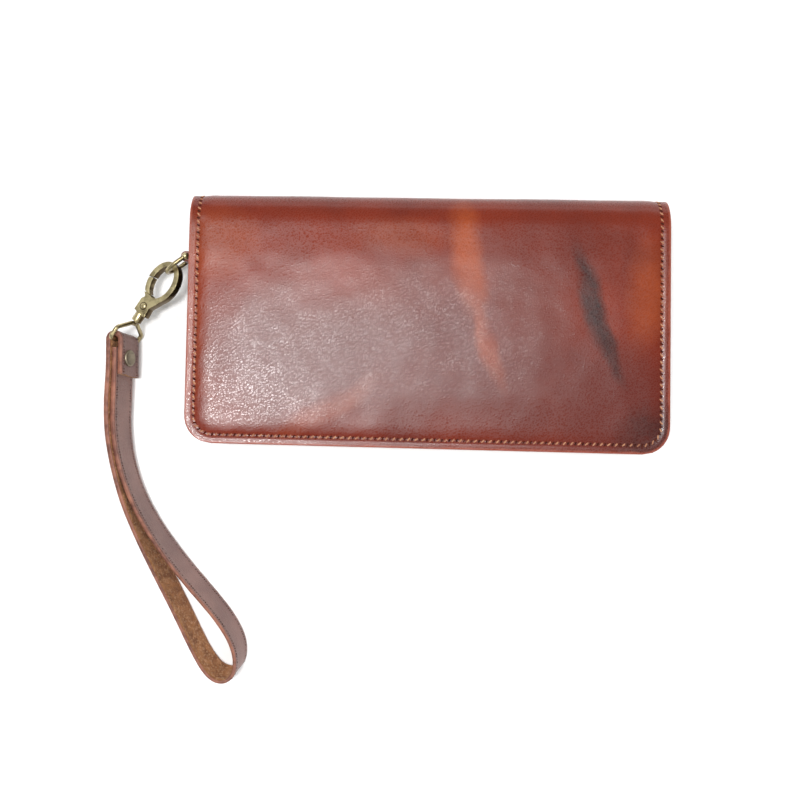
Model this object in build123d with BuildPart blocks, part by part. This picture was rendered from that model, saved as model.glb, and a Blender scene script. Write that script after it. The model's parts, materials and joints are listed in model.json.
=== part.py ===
"""Zip-around leather pouch with a hooked wrist strap, lying on its back. Millimetres, +Z up.

Origin: centre of the back panel's outer face. +X runs along the pouch, +Y towards its spine.
The pouch lies on Z = 0. The front cover opens about the outer line of the spine.
"""
import os
from math import asin, atan2, cos, degrees, radians, sin

from build123d import *

# pouch body
pouch_length = 200.0
pouch_depth = 104.8
pouch_height = 25.0
cover_leather = 1.8
cover_corner_radius = 11.5
cover_split = 0.3        # the covers meet at mid spine with this much between them

# zipper
wall_inset = 4.5         # zipper wall, in from the covers' edge
tape_thickness = 0.6
tape_hem = 3.6           # tape sewn flat under each cover, out from the wall
tape_gap = 0.5           # each tape stops this far from mid height
tape_end_drop = 3.0      # tapes stop this far in front of the spine's inner crest
tooth_pitch = 2.6
tooth_width = 1.5
tooth_thickness = 2.4
tooth_height = 2.7
teeth_left_drop = 21.0   # end of the teeth, from the spine's centre
teeth_right_drop = 16.0
stop_length = 2.0
slider_drop = 8.0        # slider, closed, from the spine's centre
slider_length = 9.0
slider_plate = 0.9
slider_slack = 0.3       # slider to teeth, each side
slider_post = 0.6
pull_length = 21.0
pull_width = 4.6
pull_thickness = 0.9
pull_bar_radius = 0.45
pull_bore_slack = 0.05
pull_eye_wall = 0.5
pull_eye_gap = 0.2       # eye to the slider's outer plate
pull_hole_radius = 0.9
pull_hole_inset = 3.0
ear_length = 1.6
ear_reach = 1.9
ear_thickness = 0.8

# inside
lining_thickness = 0.8
lining_gap = 0.4         # lining to zipper wall
lining_end_drop = 3.0    # linings end this far in front of the spine's centre
pocket_side = 12.0       # pockets, in from the pouch's ends and front
pocket_front = 13.5
pocket_corner = 3.0
pocket_drops = (25.0, 37.0, 49.0)
panel_drop = 9.0
slip_drop = 29.0

# ring and its tab
ring_stand = 1.8         # ring's bar, out from the pouch's end
ring_drop = 13.8         # ring's bar, from the spine's centre
ring_below = 0.5         # ring's middle, under the split
ring_azimuth = 216.0
ring_half_height = 6.0
ring_reach = 10.6        # bar centre to the round end's wire centre
ring_wire = 0.9
ring_ball = 1.4
tab_leather = 1.2
tab_half_height = 4.5
tab_bore_slack = 0.1
tab_flange = 6.5
tab_clearance = 0.3

# hook: along its own axis from the gate pin, and across it towards the gate
hook_azimuth = 56.0
hook_lean = 26.0
ring_seat = (17.4, 0.6)  # gate pin to the ring's wire
eye_centre = (12.6, -1.0)
eye_outer = (9.7, 7.1)
eye_inner = (7.5, 4.85)
hook_thickness = 3.6
base_outline = [
    (-3.9, -3.4), (-3.4, 3.1), (2.2, 3.1), (5.4, 0.8), (7.5, -6.5), (3.6, -4.9), (0.4, -3.0)
]
base_back = 3.4
base_corner = 0.5
gate_nose = 12.7         # the gate's end is an arc about the pin
gate_thick_from = 5.6
gate_thickness = 3.0
gate_web = 1.1
gate_web_outline = [(-0.6, 1.7), (4.8, 3.6), (6.8, 4.4), (6.8, 2.4), (1.8, 0.2)]
gate_slot = 2.2
gate_slot_reach = 8.0
gate_slot_span = (-1.25, 6.25)
gate_clearance = 0.3
lug_radius = 1.9
pin_radius = 0.75
pin_slack = 0.05
pin_head_radius = 1.25
pin_head_height = 0.5
barrel_radius = 2.2
barrel_end = 7.4
post_radius = 1.0
post_slack = 0.05
post_head_radius = 1.45
chamber_slack = 0.1
chamber_from = 4.6
chamber_to = 6.2

# swivel loop and strap
bar_distance = 17.8      # gate pin to the loop's bar
loop_wire = 0.9
loop_side_slack = 1.6    # the strap's ends are oblique at the fold
loop_shoulder = 12.6
loop_top = 8.7
loop_neck = 1.9
loop_corner = 1.6
strap_width = 13.0
strap_leather = 2.2
strap_layer_gap = 0.3    # between the layers held by the rivet
rivet_drop = 7.2         # bar to rivet
rivet_post_radius = 1.2
rivet_cap_radius = 3.5
rivet_cap_height = 1.1
rivet_back_radius = 3.1
rivet_back_height = 0.8

mid_z = pouch_height / 2
half_length = pouch_length / 2
spine_y = pouch_depth / 2 - mid_z
front_y = -pouch_depth / 2
inner_radius = mid_z - cover_leather
tape_end_y = spine_y + inner_radius - tape_end_drop
lining_end_y = spine_y - lining_end_drop
slider_y = spine_y - slider_drop
pocket_half_length = half_length - pocket_side
pocket_front_y = front_y + pocket_front
wall_x = half_length - wall_inset
tape_mid_x = wall_x - tape_thickness / 2

# the hook slopes down just enough for the loop to rest on the ground
ring_z = mid_z - ring_below
loop_half = strap_width / 2 + loop_side_slack + loop_wire
loop_fall = ring_z - loop_wire - loop_half * cos(radians(hook_lean))
hook_tilt = degrees(asin(loop_fall / (ring_seat[0] + bar_distance)))
hook_axis = Vector(
    cos(radians(hook_tilt)) * cos(radians(hook_azimuth)),
    cos(radians(hook_tilt)) * sin(radians(hook_azimuth)),
    sin(radians(hook_tilt)),
)
upright = Vector(-sin(radians(hook_lean)), 0, cos(radians(hook_lean)))
hook_width_axis = (upright - hook_axis * upright.dot(hook_axis)).normalized()
ring_out = Vector(cos(radians(ring_azimuth)), sin(radians(ring_azimuth)), 0)
ring_bar_x = half_length + ring_stand
ring_y = spine_y - ring_drop
ring_bar = Vector(-ring_bar_x, ring_y, ring_z)
ring_end = ring_bar + ring_out * ring_reach
gate_side = hook_width_axis.cross(hook_axis)
gate_pin_centre = ring_end - hook_axis * ring_seat[0] - gate_side * ring_seat[1]
bar_centre = gate_pin_centre - hook_axis * bar_distance
hook_plane = Plane(origin=gate_pin_centre, x_dir=hook_axis, z_dir=hook_width_axis)
loop_plane = Plane(
    origin=gate_pin_centre, x_dir=hook_axis, z_dir=hook_axis.cross(hook_width_axis)
)

# the strap stands on edge: its bottom edge runs from the floor up to the bar's foot
strap_foot = bar_centre - hook_width_axis * (strap_width / 2)
strap_run = 145.0
strap_slope = degrees(atan2(strap_foot.Z, strap_run))
strap_floor = Plane(
    origin=strap_foot,
    x_dir=(1, 0, 0),
    z_dir=(0, -sin(radians(strap_slope)), cos(radians(strap_slope))),
)
strap_face = strap_floor.y_dir.cross(hook_width_axis).normalized()

# the strap's centreline on its bottom edge, from the bar: each corner and its radius
strap_fold = strap_leather + strap_layer_gap
back_layer = [
    ((-strap_fold, -14.0), 120.0),
    ((-strap_fold - 0.8, -35.7), 100.0),
    ((-strap_fold + 2.9, -56.7), 90.0),
    ((-strap_fold + 13.9, -84.2), 150.0),
    ((-strap_fold + 28.3, -111.2), 200.0),
]
loop_end = [
    ((40.0, -139.8), 8.0),
    ((48.0, -143.2), 5.0),
    ((52.2, -132.7), 16.0),
    ((48.3, -119.3), 30.0),
]
inner_layer = [
    ((31.1, -101.6), 150.0),
    ((12.4, -76.7), 80.0),
    ((3.0, -56.7), 75.0),
    ((-0.7, -36.7), 80.0),
    ((0.0, -14.0), 120.0),
]
inner_layer_end = (0.0, -3.6)
flap_end = -14.6

parts = {}


def keep(builder, name):
    builder.part.label = name
    parts[name] = builder.part


def outline(inset, back_y, z):
    """The pouch's outline in by inset, square at back_y and round at its two front corners."""
    low = front_y + inset
    with BuildSketch(Plane.XY.offset(z)) as shape:
        with Locations((0, (low + back_y) / 2)):
            Rectangle(2 * (half_length - inset), back_y - low)
        fillet(shape.vertices().group_by(Axis.Y)[0], cover_corner_radius - inset)
    return shape.sketch


def strip(high_y, z):
    """A pocket's outline, from the pockets' front edge up to high_y."""
    with BuildSketch(Plane.XY.offset(z)) as shape:
        with Locations((0, (pocket_front_y + high_y) / 2)):
            RectangleRounded(2 * pocket_half_length, high_y - pocket_front_y, pocket_corner)
    return shape.sketch


def make_cover(name, side):
    """A flat panel and a quarter of the spine; side is -1 for the back cover, +1 for the front."""
    outer_z = mid_z + side * mid_z
    inner_z = outer_z - side * cover_leather
    split_z = mid_z + side * cover_split / 2
    with BuildPart() as cover:
        with BuildSketch(Plane.YZ) as profile:
            with Locations((spine_y, mid_z)):
                Circle(mid_z)
                Circle(inner_radius, mode=Mode.SUBTRACT)
            with Locations((spine_y - mid_z, mid_z)):
                Rectangle(2 * mid_z, 3 * mid_z, mode=Mode.SUBTRACT)
            with Locations((spine_y, split_z - side * mid_z)):
                Rectangle(4 * mid_z, 2 * mid_z, mode=Mode.SUBTRACT)
            with Locations(((front_y + spine_y) / 2, (outer_z + inner_z) / 2)):
                Rectangle(spine_y - front_y, cover_leather)
        extrude(amount=half_length, both=True)
        corners = cover.edges().filter_by(Axis.Z).group_by(Axis.Y)[0]
        fillet(corners, cover_corner_radius)
    keep(cover, name)


def make_tape(name, side):
    """An L section: a wall that stops short of mid height, and a hem sewn under the cover."""
    cover_z = mid_z + side * (mid_z - cover_leather)
    edge_z = mid_z + side * tape_gap
    low, high = sorted((cover_z, edge_z))
    hem_low = min(cover_z, cover_z - side * tape_thickness)
    hem_inset = wall_inset - tape_hem
    inner_inset = wall_inset + tape_thickness
    with BuildPart() as tape:
        extrude(outline(wall_inset, tape_end_y, low), amount=high - low)
        extrude(outline(hem_inset, tape_end_y, hem_low), amount=tape_thickness)
        extrude(
            outline(inner_inset, tape_end_y + 1, 0), amount=pouch_height, mode=Mode.SUBTRACT
        )
        with Locations((-wall_x, ring_y, ring_z)):
            Box(
                4 * tape_thickness,
                2 * (ring_wire + tab_bore_slack + tab_leather + tab_clearance),
                2 * (tab_half_height + tab_clearance),
                mode=Mode.SUBTRACT,
            )
        # past the spine's centre the tape follows the inside of the spine
        with BuildSketch(Plane.YZ) as room:
            with Locations((spine_y, mid_z)):
                Circle(inner_radius)
            with Locations(((front_y + spine_y) / 2, mid_z)):
                Rectangle(spine_y - front_y, 2 * inner_radius)
        extrude(amount=half_length, both=True, mode=Mode.INTERSECT)
    keep(tape, name)


def zipper_line():
    """The tape's centreline in plan, from the left end of the teeth round to the right end."""
    radius = cover_corner_radius - wall_inset - tape_thickness / 2
    low = front_y + wall_inset + tape_thickness / 2
    with BuildLine() as line:
        FilletPolyline(
            (-tape_mid_x, spine_y - teeth_left_drop),
            (-tape_mid_x, low),
            (tape_mid_x, low),
            (tape_mid_x, spine_y - teeth_right_drop),
            radius=radius,
        )
    return line.wire()


def make_teeth(name, side):
    """One row of teeth on a tape's outer face, half a pitch from the other row."""
    line = zipper_line()
    tooth_z = mid_z + side * (tape_gap + tooth_height / 2)
    start = tooth_pitch * (0.75 if side > 0 else 0.25)
    count = int((line.length - start) / tooth_pitch)
    places = []
    for i in range(count):
        along = (start + (i + 0.25) * tooth_pitch) / line.length
        point = line @ along
        heading = line % along
        place = Plane(
            origin=(point.X, point.Y, tooth_z), x_dir=(heading.X, heading.Y, 0), z_dir=(0, 0, 1)
        )
        places.append(place.location)
    proud = (tooth_thickness - tape_thickness) / 2
    with BuildPart() as teeth:
        with Locations(*places):
            with Locations((0, -(tape_thickness + proud) / 2, 0)):
                Box(tooth_width, proud, tooth_height)
    keep(teeth, name)


def make_stops(name, side):
    """Small clips on a tape's edge, one past each end of its teeth."""
    stop_z = mid_z + side * (tape_gap + tooth_height / 2)
    outer_x = tape_mid_x + (tooth_thickness + tape_thickness) / 4
    with BuildPart() as stops:
        for x, y in (
            (-outer_x, spine_y - teeth_left_drop + stop_length),
            (outer_x, spine_y - teeth_right_drop + stop_length / 2),
        ):
            with Locations((x, y, stop_z)):
                Box((tooth_thickness - tape_thickness) / 2, stop_length, tooth_height)
    keep(stops, name)


def make_slider():
    """Two plates joined by a thin post between the tapes, and a bar for the pull."""
    inner_face = tape_mid_x - tooth_thickness / 2 - slider_slack
    outer_face = tape_mid_x + tooth_thickness / 2 + slider_slack
    half_height = tape_gap + tooth_height + slider_slack + slider_plate
    lip = wall_x + slider_slack
    with BuildPart() as slider:
        with Locations((outer_face + slider_plate / 2, slider_y, mid_z)):
            Box(slider_plate, slider_length, 2 * half_height)
        with Locations((inner_face - slider_plate / 2, slider_y, mid_z)):
            Box(slider_plate, slider_length, 2 * half_height)
        with Locations(((outer_face + inner_face) / 2, slider_y + slider_length / 4, mid_z)):
            Box(outer_face - inner_face, slider_length / 2, slider_post)
        for side in (-1, 1):
            lip_z = mid_z + side * (half_height - slider_plate / 2)
            with Locations(((lip + outer_face) / 2, slider_y, lip_z)):
                Box(outer_face - lip, slider_length, slider_plate)
        plate_x = outer_face + slider_plate
        ear_rise = pull_width / 2 + slider_slack + ear_thickness / 2
        for side in (-1, 1):
            with Locations((plate_x + ear_reach / 2, slider_y, mid_z + side * ear_rise)):
                Box(ear_reach, ear_length, ear_thickness)
        bar = Plane(origin=(pull_axis_x(), slider_y, mid_z), z_dir=(0, 0, 1))
        with BuildSketch(bar):
            Circle(pull_bar_radius)
        extrude(amount=ear_rise, both=True)
    keep(slider, "zipper_slider")


def pull_axis_x():
    eye = pull_bar_radius + pull_bore_slack + pull_eye_wall
    return tape_mid_x + tooth_thickness / 2 + slider_slack + slider_plate + eye + pull_eye_gap


def make_pull():
    """A flat tab with a rolled eye on the slider's bar, lying along the pouch's side."""
    x = pull_axis_x()
    eye = pull_bar_radius + pull_bore_slack + pull_eye_wall
    low = Plane.XY.offset(mid_z - pull_width / 2)
    with BuildPart() as pull:
        with BuildSketch(low):
            with Locations((x, slider_y)):
                Circle(eye)
            with Locations((x, slider_y - pull_length / 2)):
                Rectangle(pull_thickness, pull_length)
            with Locations((x, slider_y)):
                Circle(pull_bar_radius + pull_bore_slack, mode=Mode.SUBTRACT)
        extrude(amount=pull_width)
        ends = pull.edges().filter_by(Axis.X).group_by(Axis.Y)[0]
        fillet(ends, pull_width * 0.35)
        hole_y = slider_y - pull_length + pull_hole_inset
        with Locations(Plane(origin=(x, hole_y, mid_z), z_dir=(1, 0, 0))):
            Hole(radius=pull_hole_radius)
    keep(pull, "zipper_pull")


def make_inside():
    """Linings glued to the covers, and stepped card pockets and a slip pocket sewn on them."""
    inset = wall_inset + tape_thickness + lining_gap
    z = cover_leather
    with BuildPart() as back_lining:
        extrude(outline(inset, lining_end_y, z), amount=lining_thickness)
    keep(back_lining, "back_lining")
    z += lining_thickness
    with BuildPart() as card_panel:
        extrude(strip(spine_y - panel_drop, z), amount=lining_thickness)
    keep(card_panel, "card_panel")
    for number, drop in enumerate(pocket_drops, 1):
        z += lining_thickness
        with BuildPart() as pocket:
            extrude(strip(spine_y - drop, z), amount=lining_thickness)
        keep(pocket, f"card_pocket_{number}")
    z = pouch_height - cover_leather - lining_thickness
    with BuildPart() as front_lining:
        extrude(outline(inset, lining_end_y, z), amount=lining_thickness)
    keep(front_lining, "front_lining")
    z -= lining_thickness
    with BuildPart() as slip_pocket:
        extrude(strip(spine_y - slip_drop, z), amount=lining_thickness)
    keep(slip_pocket, "slip_pocket")


def make_ring_tab():
    """A leather strip round the ring's bar, its legs through the tapes and spread inside."""
    inner = ring_wire + tab_bore_slack
    outer = inner + tab_leather
    root_x = -(wall_x - tape_thickness)
    with BuildPart() as tab:
        with BuildSketch(Plane.XY.offset(ring_z - tab_half_height)):
            with Locations((-ring_bar_x, ring_y)):
                Circle(outer)
            with Locations(((root_x + tab_leather - ring_bar_x) / 2, ring_y)):
                Rectangle(root_x + tab_leather + ring_bar_x, 2 * outer)
            with Locations(((root_x + tab_leather + 1 - ring_bar_x) / 2, ring_y)):
                Rectangle(
                    root_x + tab_leather + 1 + ring_bar_x, 2 * inner, mode=Mode.SUBTRACT
                )
            with Locations((-ring_bar_x, ring_y)):
                Circle(inner, mode=Mode.SUBTRACT)
        extrude(amount=2 * tab_half_height)
        flange_top = mid_z - tape_gap
        flange_low = ring_z - tab_half_height
        for side in (-1, 1):
            with Locations(
                (
                    root_x + tab_leather / 2,
                    ring_y + side * (outer + tab_flange) / 2,
                    (flange_low + flange_top) / 2,
                )
            ):
                Box(tab_leather, tab_flange - outer, flange_top - flange_low)
    keep(tab, "ring_tab")


def make_ring():
    """A D of round wire: an upright bar, two legs and a half round, with a ball at each corner."""
    plane = Plane(origin=ring_bar, x_dir=ring_out, z_dir=ring_out.cross(Vector(0, 0, 1)))
    leg = ring_reach - ring_half_height
    with BuildPart() as ring:
        with BuildLine(plane) as path:
            Line((0, -ring_half_height), (0, ring_half_height))
            Line((0, ring_half_height), (leg, ring_half_height))
            ThreePointArc(
                (leg, ring_half_height), (ring_reach, 0), (leg, -ring_half_height)
            )
            Line((leg, -ring_half_height), (0, -ring_half_height))
        with BuildSketch(Plane(origin=ring_bar, z_dir=(0, 0, 1))):
            Circle(ring_wire)
        sweep(path=path.wire(), transition=Transition.RIGHT)
        for side in (-1, 1):
            with Locations(ring_bar + Vector(0, 0, side * ring_half_height)):
                Sphere(ring_ball)
    keep(ring, "d_ring")


def eye_band():
    """The flat oval band of the hook's eye, in the hook's own plane."""
    with BuildSketch() as band:
        with Locations(eye_centre):
            Ellipse(*eye_outer)
            Ellipse(*eye_inner, mode=Mode.SUBTRACT)
    return band.sketch


def gate_room(clearance):
    """The part of the hook's plane on the gate's side, out to the gate's nose."""
    low = gate_thick_from - clearance
    with BuildSketch() as room:
        Circle(gate_nose + clearance)
        with Locations(((low + 2 * gate_nose) / 2, gate_nose)):
            Rectangle(2 * gate_nose - low, 2 * gate_nose, mode=Mode.INTERSECT)
    return room.sketch


def make_hook():
    """The eye, its base with a slot for the gate, and the barrel that holds the swivel post."""
    half = hook_thickness / 2
    post_plane = Plane(origin=gate_pin_centre, z_dir=-hook_axis)
    with BuildPart() as hook:
        with BuildSketch(hook_plane):
            add(eye_band())
        extrude(amount=half, both=True)
        with BuildSketch(hook_plane):
            with BuildLine():
                Polyline(*base_outline, close=True)
            base = make_face()
            fillet(base.vertices(), base_corner)
            with Locations(eye_centre):
                Ellipse(*eye_inner, mode=Mode.SUBTRACT)
        extrude(amount=half, both=True)
        # room for the gate: its thick part on one side of the eye, its web in a slot
        with BuildSketch(hook_plane):
            add(gate_room(gate_clearance))
        extrude(amount=2 * half, both=True, mode=Mode.SUBTRACT)
        low, high = gate_slot_span
        with BuildSketch(hook_plane):
            Circle(lug_radius + gate_clearance)
            with Locations((gate_slot_reach / 2, (low + high) / 2)):
                Rectangle(gate_slot_reach, high - low)
        extrude(amount=gate_slot / 2, both=True, mode=Mode.SUBTRACT)
        with BuildSketch(post_plane.offset(base_back)):
            Circle(barrel_radius)
        extrude(amount=barrel_end - base_back)
        with BuildSketch(post_plane.offset(chamber_from)):
            Circle(post_head_radius + chamber_slack)
        extrude(amount=chamber_to - chamber_from, mode=Mode.SUBTRACT)
        with BuildSketch(post_plane.offset(chamber_to)):
            Circle(post_radius + post_slack)
        extrude(amount=barrel_end - chamber_to, mode=Mode.SUBTRACT)
        with BuildSketch(hook_plane):
            Circle(pin_radius)
        extrude(amount=half, both=True, mode=Mode.SUBTRACT)
    keep(hook, "hook_body")


def make_gate():
    """The spring gate: a lug on the pin, a thin web and a thick arm that closes the eye."""
    with BuildPart() as gate:
        with BuildSketch(hook_plane):
            add(eye_band())
            add(gate_room(0), mode=Mode.INTERSECT)
        extrude(amount=gate_thickness / 2, both=True)
        with BuildSketch(hook_plane):
            Circle(lug_radius)
            with BuildLine():
                Polyline(*gate_web_outline, close=True)
            make_face()
            Circle(pin_radius + pin_slack, mode=Mode.SUBTRACT)
        extrude(amount=gate_web / 2, both=True)
    keep(gate, "hook_gate")


def make_pin_and_spring():
    half = hook_thickness / 2
    with BuildPart() as pin:
        with BuildSketch(hook_plane):
            Circle(pin_radius)
        extrude(amount=half, both=True)
        for side in (-1, 1):
            face = Plane(
                origin=gate_pin_centre + hook_width_axis * (side * half),
                x_dir=hook_axis,
                z_dir=hook_width_axis * side,
            )
            with BuildSketch(face):
                Circle(pin_head_radius)
            extrude(amount=pin_head_height)
        top = pin.faces().sort_by(Axis(gate_pin_centre, hook_width_axis))[-1]
        chamfer(top.edges(), pin_head_height * 0.5)
    keep(pin, "gate_pin")
    with BuildPart() as spring:
        with BuildSketch(hook_plane.offset(gate_web / 2 + pin_slack)):
            Circle(lug_radius)
            Circle(pin_radius + gate_clearance, mode=Mode.SUBTRACT)
        extrude(amount=gate_slot / 2 - gate_web / 2 - pin_slack)
    keep(spring, "gate_spring")


def make_swivel_loop():
    """A loop of round wire on the swivel post; its bar is square to the hook's axis."""
    post_plane = Plane(origin=gate_pin_centre, z_dir=-hook_axis)
    with BuildPart() as loop:
        with BuildLine(loop_plane) as path:
            for turn in (1, -1):
                FilletPolyline(
                    (-loop_top, 0),
                    (-loop_top, turn * loop_neck),
                    (-loop_shoulder, turn * loop_half),
                    (-bar_distance, turn * loop_half),
                    (-bar_distance, 0),
                    radius=loop_corner,
                )
        start = gate_pin_centre - hook_axis * loop_top
        with BuildSketch(Plane(origin=start, z_dir=hook_width_axis)):
            Circle(loop_wire)
        sweep(path=path.wire())
        with BuildSketch(post_plane.offset(chamber_to - chamber_slack)):
            Circle(post_radius)
        extrude(amount=loop_top - chamber_to + chamber_slack)
        with BuildSketch(post_plane.offset(chamber_from + chamber_slack)):
            Circle(post_head_radius)
        extrude(amount=chamber_to - chamber_from - 2 * chamber_slack)
    keep(loop, "swivel_loop")


def rivet_plane():
    return Plane(
        origin=bar_centre - strap_floor.y_dir * rivet_drop,
        x_dir=hook_width_axis,
        z_dir=strap_face,
    )


def make_strap():
    """One strip on edge: a flap, a fold round the bar, down, round the loop and back up."""
    corners = [((strap_fold, strap_fold), strap_fold - 0.01),
               ((-strap_fold, strap_fold), strap_fold - 0.01)]
    corners += back_layer + loop_end + inner_layer
    points = [(strap_fold, flap_end)] + [point for point, _ in corners] + [inner_layer_end]
    with BuildPart() as strap:
        with BuildSketch(strap_floor):
            with BuildLine():
                FilletPolyline(*points, radius=[radius for _, radius in corners])
            trace(line_width=strap_leather)
        extrude(amount=strap_width, dir=hook_width_axis)
        with BuildSketch(rivet_plane()):
            Circle(rivet_post_radius)
        extrude(amount=3 * strap_fold, both=True, mode=Mode.SUBTRACT)
    keep(strap, "wrist_strap")


def make_rivet():
    """A cap on the flap, a post through the three layers and a smaller cap behind."""
    reach = (strap_fold + strap_leather / 2) * strap_face.X
    plane = rivet_plane()
    with BuildPart() as post:
        with BuildSketch(plane.offset(-reach)):
            Circle(rivet_post_radius)
        extrude(amount=2 * reach)
    keep(post, "strap_rivet_post")
    with BuildPart() as cap:
        with BuildSketch(plane.offset(reach)):
            Circle(rivet_cap_radius)
        extrude(amount=rivet_cap_height)
        top = cap.faces().sort_by(Axis(plane.origin, plane.z_dir))[-1]
        fillet(top.edges(), rivet_cap_height * 0.8)
    keep(cap, "strap_rivet_cap")
    with BuildPart() as back:
        with BuildSketch(plane.offset(-reach)):
            Circle(rivet_back_radius)
        extrude(amount=-rivet_back_height)
    keep(back, "strap_rivet_back")


make_cover("back_cover", -1)
make_cover("front_cover", 1)
make_tape("zipper_tape_back", -1)
make_tape("zipper_tape_front", 1)
make_teeth("zipper_teeth_back", -1)
make_teeth("zipper_teeth_front", 1)
make_stops("zipper_stops_back", -1)
make_stops("zipper_stops_front", 1)
make_slider()
make_pull()
make_inside()
make_ring_tab()
make_ring()
make_hook()
make_gate()
make_pin_and_spring()
make_swivel_loop()
make_strap()
make_rivet()

os.makedirs("parts", exist_ok=True)
for name, part in parts.items():
    export_step(part, f"parts/{name}.step")
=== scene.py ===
import json
import math

import bmesh
import bpy
from mathutils import Matrix, Vector, noise


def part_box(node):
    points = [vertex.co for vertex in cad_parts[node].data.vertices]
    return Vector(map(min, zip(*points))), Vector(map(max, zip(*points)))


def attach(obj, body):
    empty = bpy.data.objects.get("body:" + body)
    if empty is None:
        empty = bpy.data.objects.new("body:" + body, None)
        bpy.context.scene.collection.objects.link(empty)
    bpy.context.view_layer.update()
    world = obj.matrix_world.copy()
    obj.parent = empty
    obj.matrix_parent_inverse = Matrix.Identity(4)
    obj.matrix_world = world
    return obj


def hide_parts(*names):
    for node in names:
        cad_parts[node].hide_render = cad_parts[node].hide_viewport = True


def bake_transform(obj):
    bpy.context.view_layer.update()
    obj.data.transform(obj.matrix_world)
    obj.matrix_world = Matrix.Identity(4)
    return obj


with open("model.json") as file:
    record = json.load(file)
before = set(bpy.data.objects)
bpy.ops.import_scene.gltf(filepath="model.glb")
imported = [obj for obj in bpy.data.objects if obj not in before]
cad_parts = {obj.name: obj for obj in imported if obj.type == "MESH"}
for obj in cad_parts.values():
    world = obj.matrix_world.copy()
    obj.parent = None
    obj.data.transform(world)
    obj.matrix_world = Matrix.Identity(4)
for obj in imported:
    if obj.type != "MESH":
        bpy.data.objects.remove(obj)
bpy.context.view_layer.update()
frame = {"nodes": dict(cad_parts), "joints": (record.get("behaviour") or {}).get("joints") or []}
nodes = frame["nodes"]
joints = {j["name"]: j for j in frame["joints"]}
mm = 0.001
print("frame loaded:", len(nodes), "nodes")


def meshObject(name, verts, faces, materials):
    mesh = bpy.data.meshes.new(name)
    mesh.from_pydata(verts, [], faces)
    mesh.update()
    for material in materials:
        mesh.materials.append(material)
    obj = bpy.data.objects.new(name, mesh)
    bpy.context.scene.collection.objects.link(obj)
    return obj


def applyModifiers(obj):
    graph = bpy.context.evaluated_depsgraph_get()
    mesh = bpy.data.meshes.new_from_object(obj.evaluated_get(graph))
    mesh.name = obj.name
    obj.modifiers.clear()
    obj.data = mesh
    return obj


def smooth(obj, angle=40):
    obj.data.polygons.foreach_set("use_smooth", [True] * len(obj.data.polygons))
    obj.data.set_sharp_from_angle(angle=math.radians(angle))


def ramp01(value, low, high):
    t = min(max((value - low) / (high - low), 0.0), 1.0)
    return t * t * (3 - 2 * t)


def attribute(obj, name, values):
    layer = obj.data.attributes.new(name, "FLOAT", "POINT")
    layer.data.foreach_set("value", values)


# a shader tree, built a node at a time
class Nodes:

    def __init__(self, name):
        self.material = bpy.data.materials.new(name)
        self.material.use_nodes = True
        self.tree = self.material.node_tree
        self.bsdf = self.tree.nodes["Principled BSDF"]

    def add(self, kind, sockets=None, **settings):
        node = self.tree.nodes.new("ShaderNode" + kind)
        for key, value in settings.items():
            setattr(node, key, value)
        for key, value in (sockets or {}).items():
            self.feed(node.inputs[key], value)
        return node

    def feed(self, socket, value):
        if isinstance(value, bpy.types.NodeSocket):
            self.tree.links.new(value, socket)
        else:
            socket.default_value = value

    def math(self, operation, a, b):
        node = self.add("Math", operation=operation)
        for socket, value in zip(node.inputs, (a, b)):
            self.feed(socket, value)
        return node.outputs[0]

    def mix(self, amount, a, b, blend="MIX"):
        node = self.add("Mix", data_type="RGBA", blend_type=blend)
        self.feed(node.inputs["Factor"], amount)
        self.feed(node.inputs[6], a)
        self.feed(node.inputs[7], b)
        return node.outputs[2]

    def span(self, value, low, high, toLow=0.0, toHigh=1.0):
        node = self.add("MapRange", {"Value": value, "From Min": low, "From Max": high,
                                     "To Min": toLow, "To Max": toHigh})
        return node.outputs["Result"]

    def noise(self, where, scale, detail=3.0, roughness=0.5, distortion=0.0):
        node = self.add("TexNoise", {"Vector": where, "Scale": scale, "Detail": detail,
                                     "Roughness": roughness, "Distortion": distortion})
        return node.outputs["Fac"]

    def place(self):
        return self.add("TexCoord").outputs["Object"]

    def map(self, where, location=(0, 0, 0), rotation=(0, 0, 0), scale=(1, 1, 1)):
        node = self.add("Mapping", {"Vector": where, "Location": location,
                                    "Rotation": rotation, "Scale": scale})
        return node.outputs["Vector"]

    def bump(self, height, distance, strength=1.0, normal=None):
        node = self.add("Bump", {"Height": height, "Distance": distance, "Strength": strength})
        if normal is not None:
            self.feed(node.inputs["Normal"], normal)
        return node.outputs["Normal"]

    def surface(self, **sockets):
        names = {"colour": "Base Color", "roughness": "Roughness", "metallic": "Metallic",
                 "normal": "Normal", "specular": "Specular IOR Level",
                 "sheen": "Sheen Weight", "sheenRoughness": "Sheen Roughness"}
        for key, value in sockets.items():
            self.feed(self.bsdf.inputs[names[key]], value)
        return self.material


def rgb(red, green, blue):
    return (red, green, blue, 1.0)


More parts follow.
